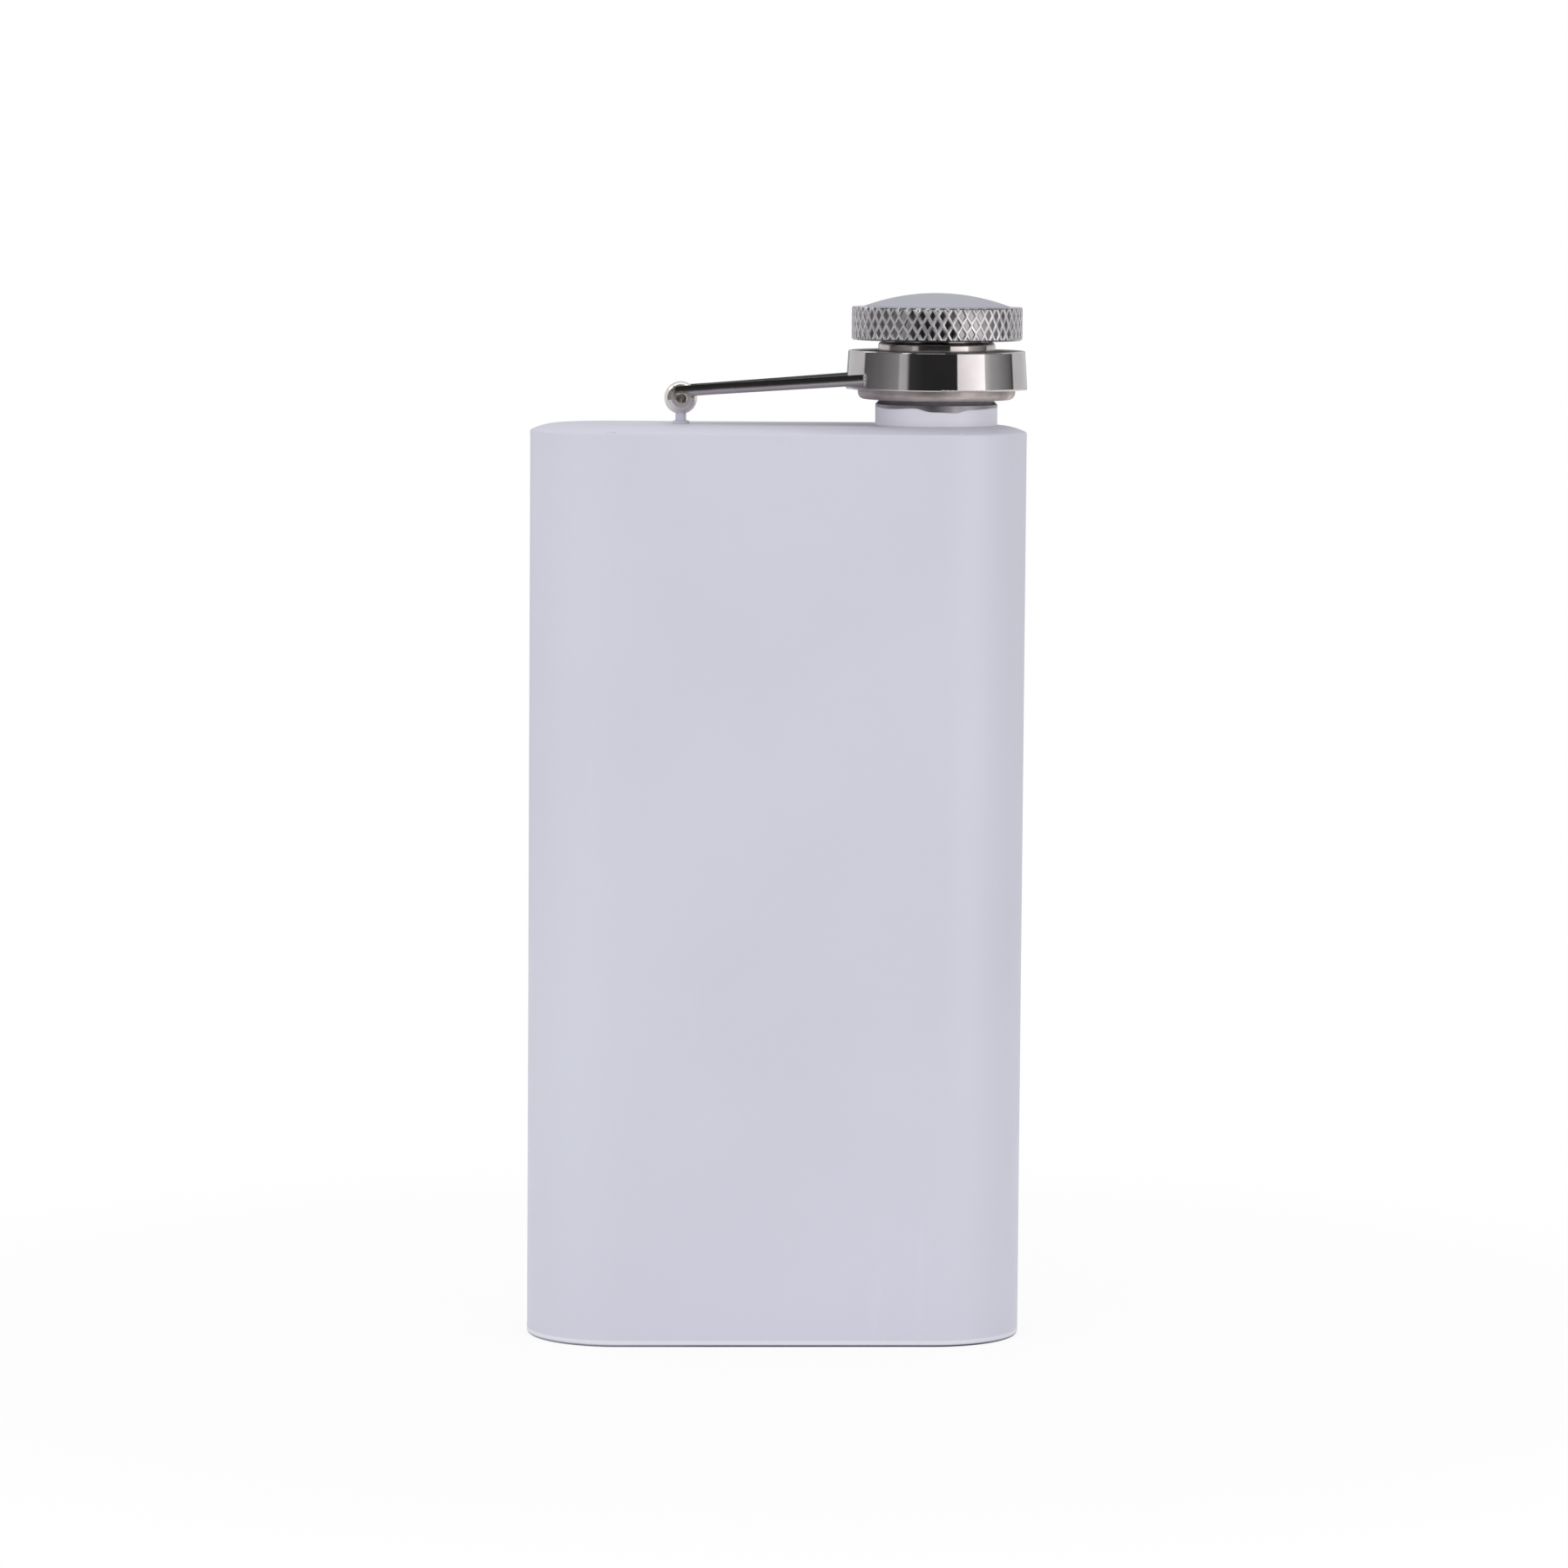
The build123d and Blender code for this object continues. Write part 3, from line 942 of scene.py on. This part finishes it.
@dataclass
class ArmSeams:
    """The two short upright weld seams that hold the arm's sides on the collar."""

    arm_width: float = 15.2 * MM
    collar_radius: float = 13.48 * MM
    stand_off: float = 0.02 * MM
    seam_radius: float = 0.28 * MM
    seam_low: float = 2.2 * MM
    seam_height: float = 1.75 * MM
    end_share: float = 0.45
    end_taper: float = 4.0
    ripples: int = 4
    ripple_share: float = 0.07
    steps_per_ripple: int = 6
    sides: int = 14
    crease: float = pi

    def seam(self) -> BMesh:
        """Builds one seam that stands on the origin.

        Returns:
            The seam, narrower at both ends.
        """
        mesh = bmesh.new()
        end_radius = self.seam_radius * self.end_share
        bmesh.ops.create_circle(mesh, cap_ends=True, segments=self.sides, radius=end_radius)
        steps = self.ripples * self.steps_per_ripple
        rise = (0, 0, self.seam_height / steps)
        face = mesh.faces[:][0]
        wide = self.end_share
        for step in range(1, steps + 1):
            made = bmesh.ops.extrude_face_region(mesh, geom=[face], use_keep_orig=step == 1)["geom"]
            face = of_kind(made, bmesh.types.BMFace)[0]
            share = step / steps
            swell = min(1.0, self.end_share + self.end_taper * min(share, 1 - share))
            wave = 0.5 - 0.5 * cos(2 * pi * step / self.steps_per_ripple)
            size = swell * (1 - self.ripple_share * wave)
            about = Matrix.Translation(-face.calc_center_median())
            bmesh.ops.scale(mesh, verts=face.verts, vec=(size / wide,) * 3, space=about)
            bmesh.ops.translate(mesh, verts=face.verts, vec=rise)
            wide = size
        return mesh

    def build(self, metal: Finish) -> None:
        """Stands a seam at each side of the arm, both in one piece.

        Args:
            metal: the weld metal.
        """
        collar_x, collar_y = axis_of("slip_washer")
        half_width = self.arm_width / 2
        aside = half_width + self.stand_off
        back = (self.collar_radius**2 - half_width**2) ** 0.5 + self.stand_off
        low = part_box("collar")[0].z + self.seam_low
        mesh = self.seam()
        bmesh.ops.translate(mesh, verts=mesh.verts, vec=(collar_x - back, collar_y - aside, low))
        other = bmesh.ops.duplicate(mesh, geom=whole(mesh))["geom"]
        bmesh.ops.translate(mesh, verts=of_kind(other, bmesh.types.BMVert), vec=(0, 2 * aside, 0))
        new_piece("arm_seams", mesh, metal, Body.ARM, self.crease)


@dataclass
class PostWeld:
    """The rippled weld bead round the foot of the hinge post, painted over."""

    ring_radius: float = 0.95 * MM
    bead_radius: float = 0.40 * MM
    lift: float = 0.1 * MM
    ripples: int = 5
    ripple_share: float = 0.3
    steps_per_ripple: int = 6
    sides: int = 12
    weld_distance: float = 0.001 * MM
    crease: float = radians(50)

    def build(self, paint: Finish) -> None:
        """Lays the bead on the shoulder.

        Args:
            paint: the paint over it.
        """
        mesh = bmesh.new()
        bmesh.ops.create_circle(mesh, segments=self.sides, radius=self.bead_radius)
        stand = Matrix.Rotation(pi / 2, 4, "X")
        outward = Matrix.Translation((self.ring_radius, 0, 0))
        bmesh.ops.transform(mesh, matrix=outward @ stand, verts=mesh.verts)
        steps = self.ripples * self.steps_per_ripple
        turn = Matrix.Rotation(2 * pi / steps, 3, "Z")
        ring = list(mesh.edges)
        swollen = 1.0
        for step in range(1, steps + 1):
            ring, verts = extrude_ring(mesh, ring)
            bmesh.ops.rotate(mesh, verts=verts, cent=(0, 0, 0), matrix=turn)
            size = 1.0 - self.ripple_share * (step / self.steps_per_ripple % 1.0)
            angle = 2 * pi * step / steps
            middle = Vector((cos(angle), sin(angle), 0)) * self.ring_radius
            for vert in verts:
                vert.co = middle + (vert.co - middle) * (size / swollen)
            swollen = size
        bmesh.ops.remove_doubles(mesh, verts=mesh.verts, dist=self.weld_distance)
        foot = (*axis_of("hinge_post"), deck_height() + self.lift)
        bmesh.ops.translate(mesh, verts=mesh.verts, vec=foot)
        new_piece("post_weld", mesh, paint, Body.FLASK, self.crease)


@dataclass
class ScrewCap:
    """The cap: knurled head, dome, stopper, seal and screw, and the slip washer that it turns on."""

    tip_depth: float = 0.145 * MM

    def dress(self) -> None:
        """Gives the CAD nodes of the cap and the slip washer their finishes."""
        dress_nodes(Steel("polished_washer_steel", (0.60, 0.56, 0.55), roughness=0.10), "slip_washer")
        axis = axis_of("neck")
        turned = TurnedSteel("turned_stopper_steel", (0.62, 0.61, 0.60), roughness=0.2, axis=axis)
        dress_nodes(turned, "stopper")
        dress_nodes(Steel("screw_steel", (0.58, 0.57, 0.56), roughness=0.22), "cap_screw")
        dome = SatinPaint("cap_dome_paint", (0.44, 0.44, 0.51), roughness=0.55, speck_spacing=4 * MM)
        dress_nodes(dome, "dome_cover")
        dress_nodes(SealRubber("soft_seal", (0.80, 0.80, 0.78)), "seal_ring")

    def build(self) -> None:
        """Builds the knurled head."""
        low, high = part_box("knurled_head")
        steel = KnurledSteel(
            "knurled_rim_steel",
            (0.90, 0.87, 0.90),
            roughness=0.48,
            axis=axis_of("neck"),
            ring_depth=0.001 * MM,
            tip_radius=(high.x - low.x) / 2 - self.tip_depth,
            top=high.z,
        )
        KnurledHead().build(steel)


@dataclass
class HingedArm:
    """The arm that keeps the cap: the bar, the rivet through its fork, and the collar welded to it."""

    lip_line: float = 1.52 * MM

    def collar(self) -> TwoFinishes:
        """Makes the collar's finish.

        Returns:
            Satin steel on the lip ring, and polished steel above it.
        """
        low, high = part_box("collar")
        lip = Steel(
            "satin_lip_part", (0.63, 0.565, 0.55), roughness=0.56, scratch_depth=0.004 * MM, stain=0.22
        )
        polished = FacedSteel(
            "polished_part",
            (0.60, 0.57, 0.575),
            roughness=0.05,
            scratch_depth=0.0006 * MM,
            face_height=high.z,
        )
        return TwoFinishes(
            "collar_with_satin_lip",
            below=lip,
            above=polished,
            line_height=low.z + self.lip_line,
            line_blur=0.02 * MM,
            step=0.0,
            wander=0.0,
        )

    def dress(self) -> None:
        """Gives the rivet, the bar and the collar their steel."""
        dress_nodes(DentedSteel("rivet_steel", (0.62, 0.55, 0.53), roughness=0.26), "hinge_pin")
        pin = middle_of("hinge_pin")
        bar = BarSteel(
            "arm_bar_steel",
            (0.56, 0.53, 0.515),
            roughness=0.09,
            cloudiness=0.15,
            scratch_depth=0.0003 * MM,
            scratch_scale=(120.0, 5200.0, 5200.0),
            stain=0.03,
            hinge=(pin.x, pin.z),
        )
        dress_nodes(bar, "swing_arm")
        dress_nodes(self.collar(), "collar")

    def build(self) -> None:
        """Builds the weld seams."""
        ArmSeams().build(Steel("weld_steel", (0.78, 0.75, 0.73), roughness=0.42))


@dataclass
class PaintedFlask:
    """The sheet body, its neck and its hinge post: sprayed white, and bare above each paint line."""

    neck_line: float = 2.62 * MM
    neck_sag: float = 0.55 * MM
    neck_sag_place: float = 0.6 * MM
    neck_sag_span: Span = (1.8 * MM, 4.4 * MM)
    post_line: float = 1.5 * MM
    colour: Colour = (0.665, 0.665, 0.765)
    post_colour: Colour = (0.62, 0.62, 0.72)

    def neck(self) -> TwoFinishes:
        """Makes the neck's finish.

        Returns:
            Paint up to a sagging line, and a bare rim above it; the neck's paint is lighter than the body's,
            as painted light against the collar's shade.
        """
        return TwoFinishes(
            "dipped_neck",
            # Painted light: the neck's paint is the body's white made lighter, to make up for the shade
            # under the collar.
            below=SatinPaint("neck_paint_lightened", (0.85, 0.85, 0.94)),
            above=Steel("bare_steel_part", (0.45, 0.43, 0.46), roughness=0.44),
            line_height=deck_height() + self.neck_line,
            line_blur=0.10 * MM,
            sag=self.neck_sag,
            sag_place=axis_of("neck")[0] + self.neck_sag_place,
            sag_span=self.neck_sag_span,
            wander=0.10 * MM,
        )

    def post(self) -> TwoFinishes:
        """Makes the post's finish.

        Returns:
            Paint on the stem, and polished steel on the ball.
        """
        pin = middle_of("hinge_pin")
        centre = (pin.x, pin.z)
        ball = BallSteel("post_steel", (0.88, 0.84, 0.79), roughness=0.08, stain=0.03, centre=centre)
        return TwoFinishes(
            "dipped_post",
            below=SatinPaint("post_paint", self.post_colour),
            above=ball,
            line_height=deck_height() + self.post_line,
        )

    def dress(self) -> None:
        """Paints the shell, the shoulder and the base, and gives the neck and the post both finishes."""
        dress_nodes(SatinPaint("satin_white_paint", self.colour), "body_shell", "shoulder_plate")
        dress_nodes(StandingPaint("base_paint", self.colour), "base_plate")
        dress_nodes(self.neck(), "neck")
        dress_nodes(self.post(), "hinge_post")

    def build(self) -> None:
        """Builds the bead at the post's foot."""
        PostWeld().build(SatinPaint("post_weld_paint", self.post_colour))


def way_to(bearing: float, elevation: float) -> Vector:
    """Returns the direction that is so many degrees right of the front and above the horizon."""
    turn, rise = radians(bearing), radians(elevation)
    return Vector((sin(turn) * cos(rise), -cos(turn) * cos(rise), sin(rise)))


@dataclass(frozen=True)
class Lamp:
    """A soft area lamp that faces the flask."""

    name: str
    bearing: float
    elevation: float
    distance: float
    width: float
    height: float
    radiance: float
    tint: Colour = WHITE
    target: Target = Target.STEEL

    def build(self, middle: Vector) -> None:
        """Builds the lamp.

        Args:
            middle: the point that it faces.
        """
        data = bpy.data.lights.new(self.name, "AREA")
        data.shape = "RECTANGLE"
        data.size = self.width
        data.size_y = self.height
        data.color = self.tint
        data.energy = self.radiance * pi * self.width * self.height
        lamp = new_object(self.name, data)
        back = way_to(self.bearing, self.elevation)
        lamp.location = middle + back * self.distance
        lamp.rotation_mode = "QUATERNION"
        lamp.rotation_quaternion = back.to_track_quat("Z", "Y")
        lamp.visible_glossy = self.target is Target.STEEL
        lamp.visible_diffuse = self.target is Target.PAINT
        lamp.visible_camera = False
        log.info("hung lamp %s", self.name)


# Each lamp's name, bearing, elevation, distance, width, height and radiance.
LAMPS = (
    Lamp("softbox_right", 42.8, 4.0, 1.1, 0.74, 0.8, 1.04, tint=(1.0, 0.965, 0.96)),
    Lamp("strip_left", -48.0, 38.0, 1.2, 0.16, 0.7, 2.4, tint=(1.0, 0.97, 0.955)),
    Lamp("back_left", -128.0, 40.0, 1.2, 0.35, 0.35, 2.2),
    Lamp("high_front", 0.0, 34.0, 1.3, 1.3, 0.34, 1.7),
    Lamp("high_back", 180.0, 58.0, 1.2, 1.2, 0.5, 1.0),
    Lamp("fill_left", -25.0, 14.0, 1.4, 1.2, 1.2, 0.62, target=Target.PAINT),
    Lamp("overhead", 0.0, 80.0, 1.3, 1.0, 0.7, 0.75, target=Target.PAINT),
)

BACKDROP_LEVEL = 0.72
# What a mirror sees: bearings in degrees right of the front, and the level at each.
ROOM_LEVELS = (
    (-113.0, BACKDROP_LEVEL), (-110.0, 0.12), (-80.0, 0.20), (-54.0, 0.34), (-52.0, 0.60),
    (-43.0, 0.55), (-39.0, 0.05), (-20.0, 0.03), (22.0, 0.03), (62.0, 0.75),
    (70.0, 0.50), (90.0, 0.30), (107.0, 0.15), (111.0, 0.03), (113.0, BACKDROP_LEVEL),
)


@dataclass
class Studio:
    """A white room: pale floor, white surroundings, soft lamps, and the dark sides that steel mirrors."""

    floor_radius: float = 0.60
    floor_front: float = 0.20
    floor_sides: int = 96
    floor_fade: Span = (0.10, 0.20)
    floor_colour: Colour = (0.93, 0.93, 0.94)
    floor_white_share: float = 0.88
    plain_level: float = 0.80
    rear_level: float = 0.03
    rear_half_width: float = radians(12)
    rear_top: float = radians(6)
    rear_blur: float = radians(2)
    dim_above: float = radians(28)
    dim_full: float = radians(50)
    dim_share: float = 0.22

    def floor_material(self) -> bpy.types.Material:
        """Builds the floor's material.

        Returns:
            A material that keeps the flask's shadow and turns white further out.
        """
        shader = Shader("studio_floor")
        diffuse = shader.node("ShaderNodeBsdfDiffuse", {"Color": self.floor_colour})
        white = shader.node("ShaderNodeEmission", {"Color": WHITE, "Strength": 1.0})
        rays = shader.node("ShaderNodeLightPath").outputs
        seen = shader.math(Maths.MAXIMUM, rays["Is Camera Ray"], rays["Is Glossy Ray"])
        seen = shader.math(Maths.MAXIMUM, seen, rays["Is Transmission Ray"])
        reach = shader.length(shader.place)
        white_share = shader.spread(reach, self.floor_fade, (self.floor_white_share, 1.0))
        share = shader.times(seen, white_share)
        mixed = shader.node("ShaderNodeMixShader", {0: share, 1: diffuse.outputs[0], 2: white.outputs[0]})
        shader.node("ShaderNodeOutputMaterial", {"Surface": mixed.outputs[0]})
        return shader.material

    def floor(self) -> None:
        """Builds the floor, cut off in front so that low cameras see past it."""
        mesh = bmesh.new()
        bmesh.ops.create_circle(mesh, cap_ends=True, segments=self.floor_sides, radius=self.floor_radius)
        cut_off(mesh, (0, -self.floor_front, 0), (0, -1, 0))
        floor = mesh_object("floor", mesh)
        floor.data.materials.append(self.floor_material())
        log.info("laid the floor")

    def paint_room(self, ramp: bpy.types.ColorRamp) -> None:
        """Sets what a mirror sees at each bearing, with the backdrop at both ends.

        Args:
            ramp: the colour ramp over all bearings, from -180 to 180 degrees.
        """
        for bearing, level in ROOM_LEVELS:
            stop = ramp.elements.new((bearing + 180.0) / 360.0)
            stop.color = (*grey(level), 1.0)
        for end in (ramp.elements[0], ramp.elements[-1]):
            end.color = (*grey(BACKDROP_LEVEL), 1.0)

    def mirrored_room(self, sky: NodeSet) -> Socket:
        """Builds the room that polished steel mirrors: dimmer high up, with a dark patch behind.

        Args:
            sky: the world's nodes.

        Returns:
            The room's colour in every direction.
        """
        direction = sky.node("ShaderNodeTexCoord").outputs["Generated"]
        forward = sky.times(sky.part(direction, Axis.Y), -1.0)
        bearing = sky.math(Maths.ARCTAN2, sky.part(direction, Axis.X), forward)
        around = sky.node("ShaderNodeMapRange", {"Value": bearing, "From Min": -pi, "From Max": pi})
        room = sky.node("ShaderNodeValToRGB", {"Fac": around.outputs["Result"]})
        self.paint_room(room.color_ramp)
        height = sky.part(direction, Axis.Z)
        dim_span = (sin(self.dim_above), sin(self.dim_full))
        lit = sky.spread(height, dim_span, (1.0, self.dim_share))
        walls = sky.mix(lit, BLACK, room.outputs["Color"])
        rear_start = pi - self.rear_half_width
        from_front = sky.math(Maths.ABSOLUTE, bearing)
        behind = sky.spread(from_front, (rear_start - self.rear_blur, rear_start))
        rear_span = (sin(self.rear_top - self.rear_blur), sin(self.rear_top))
        low = sky.spread(height, rear_span, FALLING)
        return sky.mix(sky.times(behind, low), walls, grey(self.rear_level))

    def surroundings(self) -> None:
        """Makes the world: white to the camera, plain light on paint, and the room for mirrors."""
        world = bpy.data.worlds.new("studio")
        world.use_nodes = True
        bpy.context.scene.world = world
        sky = NodeSet(world.node_tree)
        rays = sky.node("ShaderNodeLightPath").outputs
        levels = sky.mix(rays["Is Glossy Ray"], grey(self.plain_level), self.mirrored_room(sky))
        shown = sky.math(Maths.MAXIMUM, rays["Is Camera Ray"], rays["Is Transmission Ray"])
        background = sky.node("ShaderNodeBackground", {"Color": sky.mix(shown, levels, WHITE)})
        sky.node("ShaderNodeOutputWorld", {"Surface": background.outputs[0]})
        log.info("painted the surroundings")

    def build(self, middle: Vector) -> None:
        """Builds the floor, the surroundings and the lamps.

        Args:
            middle: the point that the lamps face.
        """
        self.floor()
        self.surroundings()
        for lamp in LAMPS:
            lamp.build(middle)


@dataclass
class ProductCamera:
    """The photograph's camera: level with the cap, a long lens, leaning by a hair; angles in degrees."""

    aim: Triple = (1.17 * MM, 0.0, 83.44 * MM)
    bearing: float = -2.38
    elevation: float = 5.38
    roll: float = 0.42
    distance: float = 0.977
    lens: float = 149.0
    sensor: float = 36.0

    def build(self) -> None:
        """Builds the camera and makes it the scene's."""
        data = bpy.data.cameras.new("product_camera")
        data.lens = self.lens
        data.sensor_width = self.sensor
        data.dof.use_dof = False
        camera = new_object("product_camera", data)
        back = way_to(self.bearing, self.elevation)
        right = Vector((0, 0, 1)).cross(back).normalized()
        level = Matrix((right, back.cross(right), back)).transposed()
        turned = (level @ Matrix.Rotation(radians(self.roll), 3, "Z")).to_4x4()
        camera.matrix_world = Matrix.Translation(Vector(self.aim) + back * self.distance) @ turned
        bpy.context.scene.camera = camera
        log.info("set up the camera")


def main() -> None:
    """Dresses and builds the flask, then its studio and its camera."""
    logging.basicConfig(level=logging.INFO, format="%(name)s: %(message)s")
    for assembly in (ScrewCap(), HingedArm(), PaintedFlask()):
        assembly.dress()
        assembly.build()
    middle = (cad_box[0] + cad_box[1]) / 2
    Studio().build(middle)
    ProductCamera().build()
    bpy.context.scene.view_settings.view_transform = "Standard"


if __name__ == "__main__":
    main()
